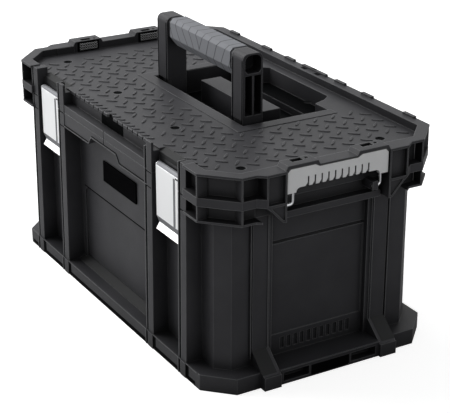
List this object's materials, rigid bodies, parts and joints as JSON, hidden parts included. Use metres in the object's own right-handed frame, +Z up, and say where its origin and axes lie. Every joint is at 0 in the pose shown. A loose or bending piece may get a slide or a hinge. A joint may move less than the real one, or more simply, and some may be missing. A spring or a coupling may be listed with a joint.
{
  "type": "toolbox",
  "caption": "Moulded toolbox with a hinged tread-plate lid, a fold-down bar handle, steel front latches and swing-out clips at each end.",
  "frame": {"origin": "under the middle of the box, on the surface it stands on", "axes": "+X along the length, -Y towards the front with the latches, +Z up"},
  "size_m": [0.58, 0.32, 0.35],
  "materials": {
    "black_plastic": "fine moulded grain, satin",
    "badge": "gloss",
    "grip_rubber": "matt, with shallow contour lines",
    "clip_plastic": "satin",
    "latch_steel": "bright zinc plate",
    "steel": "bright drawn wire"
  },
  "bodies": {
    "tub": {"body_tub": "black_plastic", "badge_plate": "badge", "hinge_pin_1": "steel", "hinge_pin_2": "steel", "hinge_pin_3": "steel", "hinge_pin_4": "steel"},
    "lid": {"lid_shell": "black_plastic", "handle_pin_left": "steel", "handle_pin_right": "steel", "latch_pin_left": "steel", "latch_pin_right": "steel"},
    "handle": {"handle_frame": "black_plastic", "handle_grip": "grip_rubber"},
    "latch_left": {"latch_plate_left": "latch_steel"},
    "latch_right": {"latch_plate_right": "latch_steel"},
    "clip_left": {"side_clip_left": "clip_plastic", "side_wire_left": "steel"},
    "clip_right": {"side_clip_right": "clip_plastic", "side_wire_right": "steel"}
  },
  "joints": [
    {"name": "lid_hinge", "type": "hinge", "parent": "tub", "child": "lid", "pos_m": [0, 0.154, 0.226], "axis": [-1, 0, 0], "range_deg": [0, 105]},
    {"name": "handle_fold", "type": "hinge", "parent": "lid", "child": "handle", "pos_m": [0, -0.00575, 0.246], "axis": [-1, 0, 0], "range_deg": [0, 90]},
    {"name": "latch_left_swing", "type": "hinge", "parent": "lid", "child": "latch_left", "pos_m": [-0.1652, -0.1497, 0.2455], "axis": [-1, 0, 0], "range_deg": [0, 110]},
    {"name": "latch_right_swing", "type": "hinge", "parent": "lid", "child": "latch_right", "pos_m": [0.1652, -0.1497, 0.2455], "axis": [-1, 0, 0], "range_deg": [0, 110]},
    {"name": "clip_left_swing", "type": "hinge", "parent": "lid", "child": "clip_left", "pos_m": [-0.2848, 0, 0.2295], "axis": [0, -1, 0], "range_deg": [0, 95]},
    {"name": "clip_right_swing", "type": "hinge", "parent": "lid", "child": "clip_right", "pos_m": [0.2848, 0, 0.2295], "axis": [0, 1, 0], "range_deg": [0, 95]}
  ]
}
